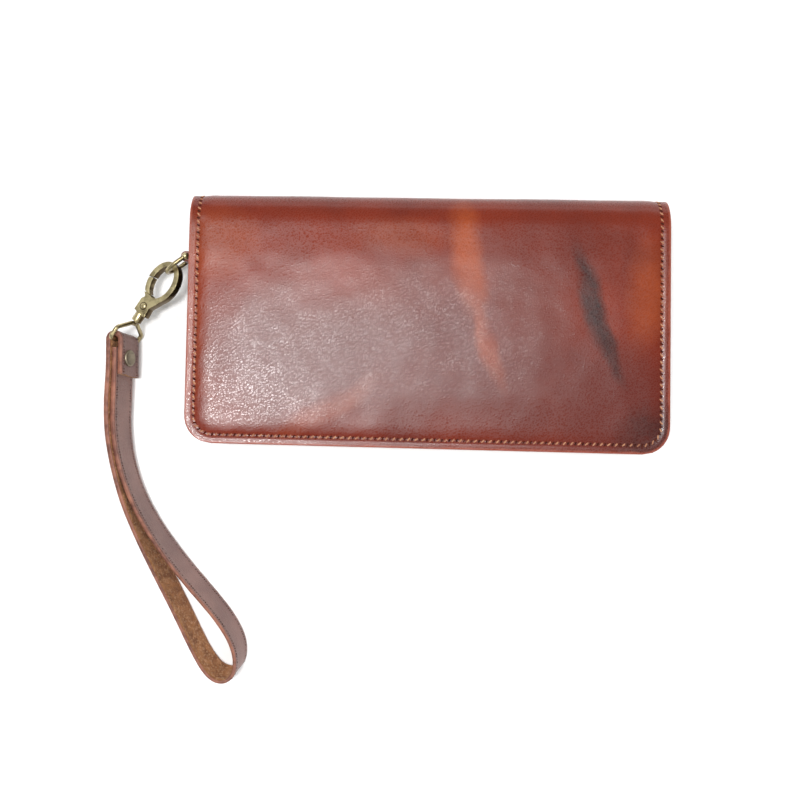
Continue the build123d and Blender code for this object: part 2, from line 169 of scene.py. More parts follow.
# clouds of colour in the cover's dye: centre (x, y) on the front panel in mm, half lengths, turn
coverDye = {
    "base": rgb(0.205, 0.021, 0.004),
    "deep": rgb(0.125, 0.013, 0.004),
    "orange": rgb(0.330, 0.060, 0.012),
    "wine": rgb(0.105, 0.013, 0.007),
    "mauve": rgb(0.092, 0.010, 0.005),
    "black": rgb(0.014, 0.005, 0.005),
    "rim": rgb(0.300, 0.070, 0.040),
    "clouds": [
        ("orange", (-90, 32), (22, 16), 0, 0.45),
        ("orange", (-98, -8), (9, 40), 0, 0.35),
        ("orange", (16, 22), (8, 38), 5, 0.85),
        ("orange", (-12, 34), (26, 10), 0, 0.30),
        ("orange", (90, 12), (11, 26), -4, 0.50),
        ("mauve", (0, -16), (98, 40), 0, 0.75),
        ("mauve", (-56, -16), (50, 32), 8, 0.60),
        ("mauve", (6, -14), (36, 24), -18, 0.60),
        ("orange", (-42, -37), (30, 6), 34, 0.32),
        ("orange", (25, -10), (5, 22), 22, 0.60),
        ("wine", (60, -30), (48, 32), 0, 0.80),
        ("wine", (50, 30), (30, 20), 0, 0.60),
        ("deep", (30, 0), (10, 16), 10, 0.70),
        ("wine", (82, -34), (32, 30), 20, 0.90),
        ("black", (66, 11), (6, 27), 14, 0.90),
        ("black", (73, -8), (5, 24), 26, 0.70),
        ("black", (92, -42), (18, 12), 30, 0.55),
        ("deep", (56, 20), (8, 16), 35, 0.45),
    ],
}


# glazed leather, dyed in clouds, with a fine slanting grain that shows as satin
def coverLeather():
    n = Nodes("coverLeather")
    flat = n.add("UVMap", uv_map="flat").outputs["UV"]     # decimetres over the flat hide
    wobble = n.add("TexNoise", {"Vector": flat, "Scale": 3.2, "Detail": 4.0})
    pull = n.add("VectorMath", operation="MULTIPLY_ADD")
    n.feed(pull.inputs[0], wobble.outputs["Color"])
    n.feed(pull.inputs[1], (0.16, 0.16, 0.0))
    n.feed(pull.inputs[2], flat)
    cloudy = n.add("VectorMath", operation="SUBTRACT")
    n.feed(cloudy.inputs[0], pull.outputs[0])
    n.feed(cloudy.inputs[1], (0.08, 0.08, 0.0))
    colour = n.mix(n.span(n.noise(flat, 2.3, 5.0, 0.55), 0.38, 0.66),
                   coverDye["deep"], coverDye["base"])
    patchy = n.noise(flat, 9.0, 4.0, 0.6)
    for dye, (x, y), (a, b), turn, amount in coverDye["clouds"]:
        moved = n.add("VectorMath", operation="SUBTRACT")
        n.feed(moved.inputs[0], cloudy.outputs[0])
        n.feed(moved.inputs[1], (x / 100, y / 100, 0))
        turned = n.add("VectorRotate", {"Vector": moved.outputs[0],
                                        "Angle": -math.radians(turn)}, rotation_type="Z_AXIS")
        sized = n.map(turned.outputs[0], scale=(100 / a, 100 / b, 1))
        blob = n.add("TexGradient", {"Vector": sized}, gradient_type="SPHERICAL").outputs["Fac"]
        soft = n.math("MULTIPLY", n.span(blob, 0.0, 0.6), n.span(patchy, 0.2, 0.6, 0.6, 1.1))
        fade = n.add("Clamp", {"Value": n.math("MULTIPLY", soft, amount)}).outputs[0]
        colour = n.mix(fade, colour, coverDye[dye])
    fine = n.noise(flat, 60.0, 3.0, 0.6)
    colour = n.mix(n.span(fine, 0.35, 0.7, 0.0, 0.22), colour, coverDye["deep"])
    rim = n.add("Attribute", attribute_name="rim", attribute_type="GEOMETRY").outputs["Fac"]
    worn = n.math("ADD", rim, n.span(n.noise(flat, 22.0), 0.3, 0.7, -0.25, 0.25))
    colour = n.mix(n.span(worn, 0.45, 1.15, 0.75, 0.0), colour, coverDye["rim"])
    slant = n.add("VectorRotate", {"Vector": flat, "Angle": math.radians(-38)},
                  rotation_type="Z_AXIS").outputs[0]
    threads = n.noise(n.map(slant, scale=(70, 165, 1)), 1.0, 1.5, 0.5, 0.4)
    pebble = n.add("TexVoronoi", {"Vector": flat, "Scale": 105.0}, feature="DISTANCE_TO_EDGE")
    grain = n.math("ADD", n.math("MULTIPLY", threads, 0.75),
                   n.span(pebble.outputs["Distance"], 0.0, 0.25, 0.0, 0.25))
    normal = n.bump(grain, 0.00004)
    waves = n.bump(n.noise(flat, 6.0, 1.0), 0.0003, 1.0, normal)
    gloss = n.span(grain, 0.44, 0.68, 0.34, 0.13)
    return n.surface(colour=colour, roughness=gloss, normal=waves, specular=0.34)


def edgePaint(name, colour, dark):
    n = Nodes(name)
    where = n.place()
    streak = n.noise(n.map(where, scale=(1, 1, 4)), 260.0, 4.0, 0.65)
    patch = n.noise(where, 90.0, 3.0)
    mixed = n.mix(n.span(streak, 0.4, 0.62), dark, colour)
    mixed = n.mix(n.span(patch, 0.45, 0.7, 0.0, 0.5), mixed, rgb(*[c * 1.5 for c in colour[:3]]))
    return n.surface(colour=mixed, roughness=0.55, normal=n.bump(streak, 0.0004, 0.5))


# the flesh side: short nap brushed in patches
def suede(name, colour, dark, light):
    n = Nodes(name)
    where = n.place()
    nap = n.noise(where, 900.0, 4.0, 0.7)
    brushed = n.noise(where, 260.0, 4.0, 0.65)
    mixed = n.mix(n.span(brushed, 0.38, 0.62), dark, colour)
    mixed = n.mix(n.span(nap, 0.5, 0.68, 0.0, 0.85), mixed, light)
    height = n.math("ADD", nap, brushed)
    return n.surface(colour=mixed, roughness=0.92, normal=n.bump(height, 0.0007, 0.8),
                     specular=0.1, sheen=0.12, sheenRoughness=0.6)


def plainLeather(name, colour, dark, roughness=0.5, scale=520.0):
    n = Nodes(name)
    where = n.place()
    pores = n.add("TexVoronoi", {"Vector": where, "Scale": scale}, feature="DISTANCE_TO_EDGE")
    cloud = n.noise(where, 60.0, 4.0, 0.55)
    speck = n.noise(where, 420.0, 3.0, 0.6)
    mixed = n.mix(n.span(cloud, 0.35, 0.65), dark, colour)
    mixed = n.mix(n.span(speck, 0.5, 0.7, 0.0, 0.25), mixed, dark)
    height = n.span(pores.outputs["Distance"], 0.0, 0.2)
    rough = n.span(cloud, 0.3, 0.7, roughness - 0.07, roughness + 0.07)
    return n.surface(colour=mixed, roughness=rough, specular=0.4,
                     normal=n.bump(height, 0.0003, 0.35))


# a twill: slanting ribs crossed by finer threads
def weave(name, colour, light, scale):
    n = Nodes(name)
    where = n.place()
    ribs = n.add("TexWave", {"Vector": n.map(where, rotation=(0, 0, 0.78)), "Scale": scale,
                             "Distortion": 0.6, "Detail": 1.0}, bands_direction="X")
    cross = n.add("TexWave", {"Vector": n.map(where, rotation=(0.5, 0, -0.78)),
                              "Scale": scale * 1.9, "Distortion": 0.4}, bands_direction="Y")
    height = n.math("ADD", ribs.outputs["Fac"], n.math("MULTIPLY", cross.outputs["Fac"], 0.5))
    mixed = n.mix(n.span(height, 0.3, 1.3), colour, light)
    mixed = n.mix(n.span(n.noise(where, 30.0), 0.3, 0.7, 0.0, 0.3), mixed, colour)
    return n.surface(colour=mixed, roughness=0.85, normal=n.bump(height, 0.0004, 0.6),
                     specular=0.2, sheen=0.15)


# antique brass: brown in the hollows, rubbed bright on the high spots, with painted shade on the
# walls that face away from the flats
def brass(name, bright, dark, roughness=0.3, darkShare=0.55):
    n = Nodes(name)
    where = n.place()
    stain = n.noise(where, 240.0, 5.0, 0.6)
    fine = n.noise(where, 1500.0, 3.0, 0.6)
    worn = n.add("NewGeometry").outputs["Pointiness"]
    wall = n.add("Attribute", attribute_name="wall", attribute_type="GEOMETRY").outputs["Fac"]
    rubbed = n.math("ADD", n.span(worn, 0.46, 0.56), n.span(stain, 0.35, 0.7, -0.25, 0.4))
    # painted shade: faces marked by the 'wall' attribute are pushed toward the dark colour
    rubbed = n.math("SUBTRACT", rubbed, n.math("MULTIPLY", wall, 0.85))
    share = n.add("Clamp", {"Value": n.math("ADD", rubbed, 0.55 - darkShare)}).outputs[0]
    colour = n.mix(share, dark, bright)
    rough = n.span(n.math("ADD", stain, n.math("MULTIPLY", fine, 0.5)), 0.5, 1.0,
                   roughness - 0.06, roughness + 0.14)
    return n.surface(colour=colour, metallic=1.0, roughness=rough,
                     normal=n.bump(fine, 0.00012, 0.25))


# waxed thread: plies wound round its length
def threadMaterial(name, colour, dark):
    n = Nodes(name)
    where = n.place()
    ply = n.add("TexWave", {"Vector": n.map(where, rotation=(0, 0, 0.5)), "Scale": 900.0,
                            "Distortion": 1.0}, bands_direction="DIAGONAL").outputs["Fac"]
    mixed = n.mix(n.span(ply, 0.1, 0.8), dark, colour)
    mixed = n.mix(n.span(n.noise(where, 55.0), 0.45, 0.62, 0.0, 0.65), mixed, dark)
    return n.surface(colour=mixed, roughness=0.6, normal=n.bump(ply, 0.0002, 0.5))


# painted shade: dark discs on the seams stand for the shade inside the needle holes
def holeShadeMaterial():
    n = Nodes("needleHoleShade")
    tint = n.noise(n.place(), 400.0)
    colour = n.mix(n.span(tint, 0.3, 0.7), rgb(0.030, 0.007, 0.005), rgb(0.095, 0.020, 0.010))
    return n.surface(colour=colour, roughness=0.9, specular=0.1)


mats = {
    "cover": coverLeather(),
    "coverFlesh": suede("coverFlesh", rgb(0.20, 0.095, 0.050), rgb(0.11, 0.048, 0.026),
                        rgb(0.30, 0.16, 0.09)),
    "coverEdge": edgePaint("coverEdge", rgb(0.33, 0.125, 0.085), rgb(0.17, 0.050, 0.032)),
    "strapGrain": plainLeather("strapGrain", rgb(0.262, 0.150, 0.128), rgb(0.185, 0.100, 0.086),
                               0.42, 900.0),
    "strapSuede": suede("strapSuede", rgb(0.400, 0.175, 0.066), rgb(0.215, 0.082, 0.030),
                        rgb(0.58, 0.34, 0.18)),
    "strapEdge": edgePaint("strapEdge", rgb(0.27, 0.105, 0.064), rgb(0.120, 0.038, 0.024)),
    "tab": plainLeather("tabLeather", rgb(0.21, 0.055, 0.03), rgb(0.10, 0.025, 0.015), 0.38),
    "pocket": plainLeather("pocketLeather", rgb(0.20, 0.085, 0.045), rgb(0.13, 0.05, 0.028), 0.5),
    "lining": weave("liningTwill", rgb(0.045, 0.022, 0.015), rgb(0.11, 0.06, 0.04), 1500.0),
    "tape": weave("tapeWeave", rgb(0.030, 0.015, 0.010), rgb(0.085, 0.045, 0.030), 1100.0),
    "brass": brass("antiqueBrass", rgb(0.62, 0.53, 0.30), rgb(0.11, 0.075, 0.035)),
    "rivet": brass("rivetBrass", rgb(0.34, 0.29, 0.21), rgb(0.13, 0.10, 0.07), 0.42, 0.5),
    "zipMetal": brass("zipperMetal", rgb(0.50, 0.40, 0.20), rgb(0.12, 0.08, 0.04), 0.34),
    # painted shadow: near-black brass for the ring round the gate pin's domes
    "grooveShade": brass("grooveShadeBrass", rgb(0.10, 0.075, 0.04), rgb(0.035, 0.024, 0.014), 0.5),
    "steel": brass("springSteel", rgb(0.55, 0.55, 0.54), rgb(0.25, 0.25, 0.25), 0.28),
    "thread": threadMaterial("seamThread", rgb(0.66, 0.34, 0.18), rgb(0.22, 0.062, 0.028)),
    "strapThread": threadMaterial("strapThread", rgb(0.115, 0.055, 0.042),
                                  rgb(0.060, 0.028, 0.022)),
    "holes": holeShadeMaterial(),
}
print("materials made:", len(mats))


backLow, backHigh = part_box("back_cover")
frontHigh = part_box("front_cover")[1]
cover = {
    "half": backHigh.x / mm,
    "frontY": backLow.y / mm,
    "backY": backHigh.y / mm,
    "height": frontHigh.z / mm,
    "leather": 1.8,
    "cornerRadius": 11.5,
    "step": 2.4,
    "crown": 0.40,
    "crownRun": 24.0,
    "edgeRound": 0.6,
    "seamInset": 3.7,
    "seamDepth": 0.34,
    "seamWidth": 0.8,
    "pucker": 0.30,
    "puckerRun": 5.0,
    # long and short waves in the panel, and how far in from the edge they come
    "waves": (0.22, 0.05),
    "waveRun": (4.0, 14.0),
    # small pulls at the stitches: height, pitch, distance in, width
    "pulls": (0.10, 3.0, 4.6, 1.0),
    "foldInset": 3.0,
    # the hide narrows towards the spine, and its front edge and spine aren't quite parallel
    "taper": 0.012,
    "frontSkew": -0.010,
    "spineSkew": 0.004,
}
cover["spineRadius"] = cover["height"] / 2
cover["spineY"] = cover["backY"] - cover["spineRadius"]
cover["panelRun"] = cover["spineY"] - cover["frontY"]
cover["arcRun"] = math.pi * cover["spineRadius"]
cover["run"] = 2 * cover["panelRun"] + cover["arcRun"]


# how far a point on a panel is from the cover's edge; the spine side has none
def rimDistance(x, y):
    r = cover["cornerRadius"]
    dx = cover["half"] - abs(x)
    dy = y - cover["frontY"]
    if dx < r and dy < r:
        return r - math.hypot(r - dx, r - dy)
    return min(dx, dy)


# height of the leather over its flat panel: crown, seam groove and puckers, in mm
def relief(x, y, d, side):
    soft = noise.noise(Vector((x * 0.03, y * 0.03, side * 7.0)))
    fine = noise.noise(Vector((x * 0.16, y * 0.16, side * 3.0)))
    seam = math.exp(-((d - cover["seamInset"]) / cover["seamWidth"]) ** 2)
    inward = ramp01(d, cover["seamInset"], cover["seamInset"] + cover["puckerRun"])
    rise = cover["pucker"] * inward
    if side > 0:
        towardSpine = ramp01(cover["spineY"] - y, -2.0, 16.0)
        rise += cover["crown"] * ramp01(d, 3.0, cover["crownRun"]) * towardSpine
        long, short = cover["waves"]
        rise += (long * soft + short * fine) * ramp01(d, *cover["waveRun"])
    height, pitch, middle, width = cover["pulls"]
    pull = height * math.sin(2 * math.pi * (x + y) / pitch)
    pull *= math.exp(-((d - middle) / width) ** 2)
    return rise - cover["seamDepth"] * seam + pull * (side > 0)


# place and outward normal on the sheet's outer side, run mm from the front panel's edge
def sheetPoint(x, run):
    panel, radius, spineY = cover["panelRun"], cover["spineRadius"], cover["spineY"]
    if run <= panel:
        y = cover["frontY"] + run
        lift = relief(x, y, rimDistance(x, y), 1)
        point, out = Vector((x, y, cover["height"] + lift)), Vector((0, 0, 1))
    elif run < panel + cover["arcRun"]:
        turn = (run - panel) / radius
        out = Vector((0, math.sin(turn), math.cos(turn)))
        d = cover["half"] - abs(x)
        lift = relief(x, spineY, d, 1) * (1 - ramp01(turn, 1.2, 3.0))
        point = Vector((x, spineY, radius)) + out * (radius + lift)
    else:
        y = spineY - (run - panel - cover["arcRun"])
        dent = 0.5 * cover["seamDepth"] * math.exp(
            -((rimDistance(x, y) - cover["seamInset"]) / cover["seamWidth"]) ** 2)
        point, out = Vector((x, y, dent)), Vector((0, 0, -1))
    share = (point.y - cover["frontY"]) / (cover["backY"] - cover["frontY"])
    skew = cover["frontSkew"] * (1 - share) + cover["spineSkew"] * share
    point.x *= 1 - cover["taper"] * share
    point.y += x * skew
    return point, out


# distances across a sheet: close together near an edge, then even
def edgeSteps(total):
    near = [0.0, 0.8, 1.5, 2.2, 2.8, 3.4, 4.0, 4.7, 5.6, 6.8, 8.4, 10.2, 12.2]
    count = round((total - near[-1]) / cover["step"])
    return near + [near[-1] + (total - near[-1]) * (i + 1) / count for i in range(count)]


def makeCover():
    half, panel = cover["half"], cover["panelRun"]
    across = edgeSteps(half)
    columns = [-half + d for d in across] + [half - d for d in reversed(across[:-1])]
    down = edgeSteps(panel)
    arc = [panel + cover["arcRun"] * (i + 1) / 22 for i in range(21)]
    rows = down + arc + [cover["run"] - v for v in reversed(down)]
    r = cover["cornerRadius"]
    verts, flat, rim = [], [], []
    for run in rows:
        d = min(run, cover["run"] - run)
        inset = r - math.sqrt(r * r - (r - d) ** 2) if d < r else 0.0
        for column in columns:
            x = column * (half - inset) / half
            point, _ = sheetPoint(x, run)
            verts.append(point * mm)
            flat.append((x / 100, (run + cover["frontY"]) / 100))
            onPanel = cover["frontY"] + min(run, cover["run"] - run)
            rim.append(max(rimDistance(x, onPanel), 0.0))
    wide = len(columns)
    faces = []
    for i in range(len(rows) - 1):
        for j in range(wide - 1):
            a = i * wide + j
            faces.append((a, a + 1, a + wide + 1, a + wide))
    obj = meshObject("coverSheet", verts, faces,
                     [mats["cover"], mats["coverFlesh"], mats["coverEdge"]])
    layer = obj.data.uv_layers.new(name="flat")
    for loop in obj.data.loops:
        layer.data[loop.index].uv = flat[loop.vertex_index]
    attribute(obj, "rim", rim)
    wall = obj.modifiers.new("wall", "SOLIDIFY")
    wall.thickness = cover["leather"] * mm
    wall.offset = -1
    wall.material_offset = 1
    wall.material_offset_rim = 2
    bevel = obj.modifiers.new("edge", "BEVEL")
    bevel.width = cover["edgeRound"] * mm
    bevel.segments = 3
    bevel.limit_method = "ANGLE"
    bevel.angle_limit = math.radians(50)
    applyModifiers(obj)
    smooth(obj, 60)
    return obj


coverSheet = makeCover()
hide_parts("back_cover", "front_cover")
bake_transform(coverSheet)
print("cover made:", len(coverSheet.data.polygons), "faces")


# sets a small shape on each point, turned by the point's own directions and a random slant
def repeatTree(name, kind):
    tree = bpy.data.node_groups.new(name, "GeometryNodeTree")
    face = tree.interface
    face.new_socket("Geometry", in_out="INPUT", socket_type="NodeSocketGeometry")
    face.new_socket("Size", in_out="INPUT", socket_type="NodeSocketVector")
    face.new_socket("Slant", in_out="INPUT", socket_type="NodeSocketFloat")
    face.new_socket("Spread", in_out="INPUT", socket_type="NodeSocketFloat")
    face.new_socket("Seed", in_out="INPUT", socket_type="NodeSocketInt")
    face.new_socket("Material", in_out="INPUT", socket_type="NodeSocketMaterial")
    face.new_socket("Geometry", in_out="OUTPUT", socket_type="NodeSocketGeometry")
    new, link = tree.nodes.new, tree.links.new
    source, result = new("NodeGroupInput"), new("NodeGroupOutput")
    along, out = new("GeometryNodeInputNamedAttribute"), new("GeometryNodeInputNamedAttribute")
    for node, attributeName in ((along, "along"), (out, "out")):
        node.data_type = "FLOAT_VECTOR"
        node.inputs["Name"].default_value = attributeName
    faceOut = new("FunctionNodeAlignRotationToVector")
    faceOut.axis = "Z"
    faceAlong = new("FunctionNodeAlignRotationToVector")
    faceAlong.axis = "X"
    faceAlong.pivot_axis = "Z"
    link(out.outputs["Attribute"], faceOut.inputs["Vector"])
    link(faceOut.outputs["Rotation"], faceAlong.inputs["Rotation"])
    link(along.outputs["Attribute"], faceAlong.inputs["Vector"])
    random = new("FunctionNodeRandomValue")
    random.data_type = "FLOAT"
    low, high = new("ShaderNodeMath"), new("ShaderNodeMath")
    low.operation, high.operation = "SUBTRACT", "ADD"
    for node in (low, high):
        link(source.outputs["Slant"], node.inputs[0])
        link(source.outputs["Spread"], node.inputs[1])
    link(low.outputs[0], random.inputs[2])
    link(high.outputs[0], random.inputs[3])
    link(source.outputs["Seed"], random.inputs["Seed"])
    axis = new("FunctionNodeAxisAngleToRotation")
    axis.inputs["Axis"].default_value = (0, 0, 1)
    link(random.outputs[1], axis.inputs["Angle"])
    turn = new("FunctionNodeRotateRotation")
    turn.rotation_space = "LOCAL"
    link(faceAlong.outputs["Rotation"], turn.inputs["Rotation"])
    link(axis.outputs["Rotation"], turn.inputs["Rotate By"])
    if kind == "grain":
        shape = new("GeometryNodeMeshUVSphere")
        shape.inputs["Segments"].default_value = 8
        shape.inputs["Rings"].default_value = 6
        shape.inputs["Radius"].default_value = 0.5
        made = shape.outputs["Mesh"]
    elif kind == "disc":
        shape = new("GeometryNodeMeshCylinder")
        shape.inputs["Vertices"].default_value = 8
        shape.inputs["Radius"].default_value = 0.5
        shape.inputs["Depth"].default_value = 1.0
        made = shape.outputs["Mesh"]
    else:
        shape = new("GeometryNodeMeshCube")
        shape.inputs["Size"].default_value = (1, 1, 1)
        soften = new("GeometryNodeSubdivisionSurface")
        soften.inputs["Level"].default_value = 1
        soften.inputs["Edge Crease"].default_value = 0.72
        link(shape.outputs["Mesh"], soften.inputs["Mesh"])
        made = soften.outputs["Mesh"]
    place = new("GeometryNodeInstanceOnPoints")
    link(source.outputs["Geometry"], place.inputs["Points"])
    link(made, place.inputs["Instance"])
    link(turn.outputs["Rotation"], place.inputs["Rotation"])
    link(source.outputs["Size"], place.inputs["Scale"])
    realize, paint = new("GeometryNodeRealizeInstances"), new("GeometryNodeSetMaterial")
    smoothed = new("GeometryNodeSetShadeSmooth")
    link(place.outputs["Instances"], realize.inputs["Geometry"])
    link(realize.outputs["Geometry"], smoothed.inputs["Geometry"])
    link(smoothed.outputs["Geometry"], paint.inputs["Geometry"])
    link(source.outputs["Material"], paint.inputs["Material"])
    link(paint.outputs["Geometry"], result.inputs["Geometry"])
    return tree


repeatTrees = {kind: repeatTree("repeat_" + kind, kind) for kind in ("grain", "disc", "block")}


# places: (point, direction along, direction out), all in mm
def setOut(name, kind, places, size, material, slant=0.0, spread=0.0, seed=1):
    obj = meshObject(name, [p * mm for p, _, _ in places], [], [])
    for key, index in (("along", 1), ("out", 2)):
        layer = obj.data.attributes.new(key, "FLOAT_VECTOR", "POINT")
        layer.data.foreach_set("vector", [c for place in places for c in place[index]])
    tree = repeatTrees[kind]
    modifier = obj.modifiers.new("repeat", "NODES")
    modifier.node_group = tree
    keys = {s.name: s.identifier for s in tree.interface.items_tree if s.in_out == "INPUT"}
    modifier[keys["Size"]] = [s * mm for s in size]
    modifier[keys["Slant"]] = math.radians(slant)
    modifier[keys["Spread"]] = math.radians(spread)
    modifier[keys["Seed"]] = seed
    modifier[keys["Material"]] = material
    applyModifiers(obj)
    return obj


seam = {
    "pitch": 3.05,
    "thread": (2.05, 0.74, 0.62),
    "slant": 46.0,
    "hole": (1.7, 0.75, 0.36),
    "holeSlant": 62.0,
    "spread": 9.0,
}


# (x, run) along one panel's seam, from mid spine on the left round to mid spine on the right
def seamRoute(front):
    inset, r = cover["seamInset"], cover["cornerRadius"] - cover["seamInset"]
    side, low = cover["half"] - inset, inset
    top = cover["run"] / 2
    route = [(-side, top - i) for i in range(int(top - low - r))]
    centre = low + r
    route += [(-side + r - r * math.cos(a), centre - r * math.sin(a))
              for a in [math.pi / 2 * i / 12 for i in range(13)]]
    route += [(-side + r + i, low) for i in range(1, int(2 * (side - r)))]
    route += [(side - r + r * math.sin(a), centre - r * math.cos(a))
              for a in [math.pi / 2 * i / 12 for i in range(13)]]
    route += [(side, centre + i) for i in range(1, int(top - centre))] + [(side, top)]
    if not front:
        route = [(x, cover["run"] - run) for x, run in route]
    return route


# points every pitch along a route of (x, run), with the heading at each
def spaced(route, pitch, offset=0.0):
    out, walked, due = [], 0.0, offset
    for (x0, v0), (x1, v1) in zip(route, route[1:]):
        length = math.hypot(x1 - x0, v1 - v0)
        if length == 0:
            continue
        while due <= walked + length:
            t = (due - walked) / length
            out.append((x0 + (x1 - x0) * t, v0 + (v1 - v0) * t,
                        (x1 - x0) / length, (v1 - v0) / length))
            due += pitch
        walked += length
    return out


def seamPlaces(front, offset, lift):
    places = []
    for x, run, dx, dv in spaced(seamRoute(front), seam["pitch"], offset):
        point, out = sheetPoint(x, run)
        ahead, _ = sheetPoint(x + dx * 0.5, run + dv * 0.5)
        along = (ahead - point)
        along = (along - out * along.dot(out)).normalized()
        places.append((point + out * lift, along, out))
    return places


def makeSeams():
    made = []
    for name, front, lift in (("Front", True, 0.10), ("Back", False, 0.0)):
        height = seam["thread"][2] if front else 0.25
        size = (seam["thread"][0], seam["thread"][1], height)
        thread = setOut("seamThread" + name, "grain",
                        seamPlaces(front, seam["pitch"] / 2, lift * (1 if front else -1)),
                        size, mats["thread"], seam["slant"], seam["spread"], 3)
        # dark discs of painted shade at the needle holes
        holes = setOut("seamHoleShade" + name, "disc", seamPlaces(front, 0.0, lift * 0.4),
                       seam["hole"], mats["holes"], seam["holeSlant"], seam["spread"], 5)
        made += [thread, holes]
    for obj in made:
        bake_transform(obj)
    return made


makeSeams()
print("seams sewn")


zipper = {
    "pitch": 2.6,
    "tooth": (1.35, 2.3, 2.5),
    "wallInset": 4.8,
    "leftDrop": 21.0,       # spine to the ends of the rows
    "rightDrop": 16.0,
    "stagger": {"case": 0.4, "front": 0.9},     # first tooth, in pitches
}


def zipperRoute(leftTop, rightTop):
    x = cover["half"] - zipper["wallInset"]
    low = cover["frontY"] + zipper["wallInset"]
    r = cover["cornerRadius"] - zipper["wallInset"]
    route = [(-x, leftTop), (-x, low + r)]
    route += [(-x + r - r * math.cos(a), low + r - r * math.sin(a))
              for a in [math.pi / 2 * i / 12 for i in range(1, 13)]]
    route += [(x - r + r * math.sin(a), low + r - r * math.cos(a))
              for a in [math.pi / 2 * i / 12 for i in range(13)]]
    route.append((x, rightTop))
    return route


# cast teeth clamped over the tape's edge
def makeTeeth(body, node):
    low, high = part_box(node)
    route = zipperRoute(cover["spineY"] - zipper["leftDrop"],
                        cover["spineY"] - zipper["rightDrop"])
    middle = (low.z + high.z) / 2 / mm
    offset = zipper["pitch"] * zipper["stagger"][body]
    spots = [(Vector((x, y, middle)), Vector((dx, dy, 0)), Vector((0, 0, 1)))
             for x, y, dx, dy in spaced(route, zipper["pitch"], offset)]
    teeth = setOut("zipperTeeth" + body.capitalize(), "block", spots, zipper["tooth"],
                   mats["zipMetal"])
    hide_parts(node)
    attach(teeth, body)


makeTeeth("case", "zipper_teeth_back")
makeTeeth("front", "zipper_teeth_front")
print("zipper toothed")


swing = joints["strap_swing"]
strap = {
    "width": 13.0,
    "leather": 2.1,
    "loopLeather": 1.45,
    "fold": 2.5,
    "flapEnd": -14.6,
    "innerEnd": -3.6,
    "loopLean": (-0.25, -0.32),     # how far the top edge lies over, at the wrist loop
    "leanRun": (-38.0, -104.0),     # where that lean comes in
    "edgeRound": 0.45,
    "restLift": 0.15,       # bottom edge over the ground, at the wrist loop
    "fallRun": 110.0,       # how far from the bar it comes down to that
    "groove": (0.14, 0.35),     # depth and width of the groove under each seam
    "worn": 0.12,
    "ragged": 0.9,
    "seamInset": 1.6,
    "pitch": 2.3,
    "thread": (1.35, 0.85, 0.62),
    "hole": (0.7, 0.8, 0.3),
    # middle of the strip in plan, measured from the bar, down the back layer and up the inner
    "route": [
        (-2.5, -13.0), (-3.4, -26.8), (-2.8, -41.3), (0.3, -56.4), (4.0, -68.6),
        (9.7, -81.6), (15.8, -93.9), (22.0, -105.7), (27.8, -117.0), (33.2, -128.0),
        (38.1, -136.6), (42.7, -141.2), (47.9, -141.8), (51.5, -138.0), (51.7, -131.0),
        (49.4, -124.4), (44.9, -117.2), (38.7, -109.7), (30.9, -101.0), (22.7, -91.0),
        (14.3, -79.4), (6.7, -65.9), (1.4, -50.8), (-0.6, -35.8), (-0.3, -24.8),
        (0.0, -13.0),
    ],
}


# rounds an open polyline by cutting its corners
def cornerCut(points, times):
    for _ in range(times):
        cut = [points[0]]
        for (x0, y0), (x1, y1) in zip(points, points[1:]):
            cut.append((0.75 * x0 + 0.25 * x1, 0.75 * y0 + 0.25 * y1))
            cut.append((0.25 * x0 + 0.75 * x1, 0.25 * y0 + 0.75 * y1))
        points = cut + [points[-1]]
    return points


# the middle line in plan from the bar: up the flap, round the bar, down, round and back
def strapLine():
    fold, end = strap["fold"], strap["flapEnd"]
    flap = [(fold, end * (1 - i / 8)) for i in range(8)]
    over = [(fold * math.cos(a), fold * math.sin(a))
            for a in [math.pi * i / 16 for i in range(17)]]
    rest = cornerCut([(-fold, -1.0)] + strap["route"] + [(0.0, strap["innerEnd"])], 3)
    return flap + over + rest


# up along the strip's width, middle height and thickness at a distance y from the bar
def strapSection(y):
    top = Vector(swing["axis"]).normalized()
    low, high = strap["leanRun"]
    share = 1 - ramp01(y, high, low)
    lean = Vector(strap["loopLean"])
    over = Vector((top.x, top.y)).lerp(lean, share)
    up = Vector((over.x, over.y, math.sqrt(1 - over.length_squared)))
    leather = strap["leather"] + (strap["loopLeather"] - strap["leather"]) * share
    bar = Vector(swing["pos_m"]) / mm
    rest = up.z * strap["width"] / 2 + strap["restLift"]
    fall = min(max(-y / strap["fallRun"], 0.0), 1.0)
    return up, bar.z + (rest - bar.z) * fall, leather


def strapPoint(x, y, up, middle, height):
    bar = Vector(swing["pos_m"]) / mm
    return Vector((bar.x + x, bar.y + y, middle)) + up * (height - strap["width"] / 2)


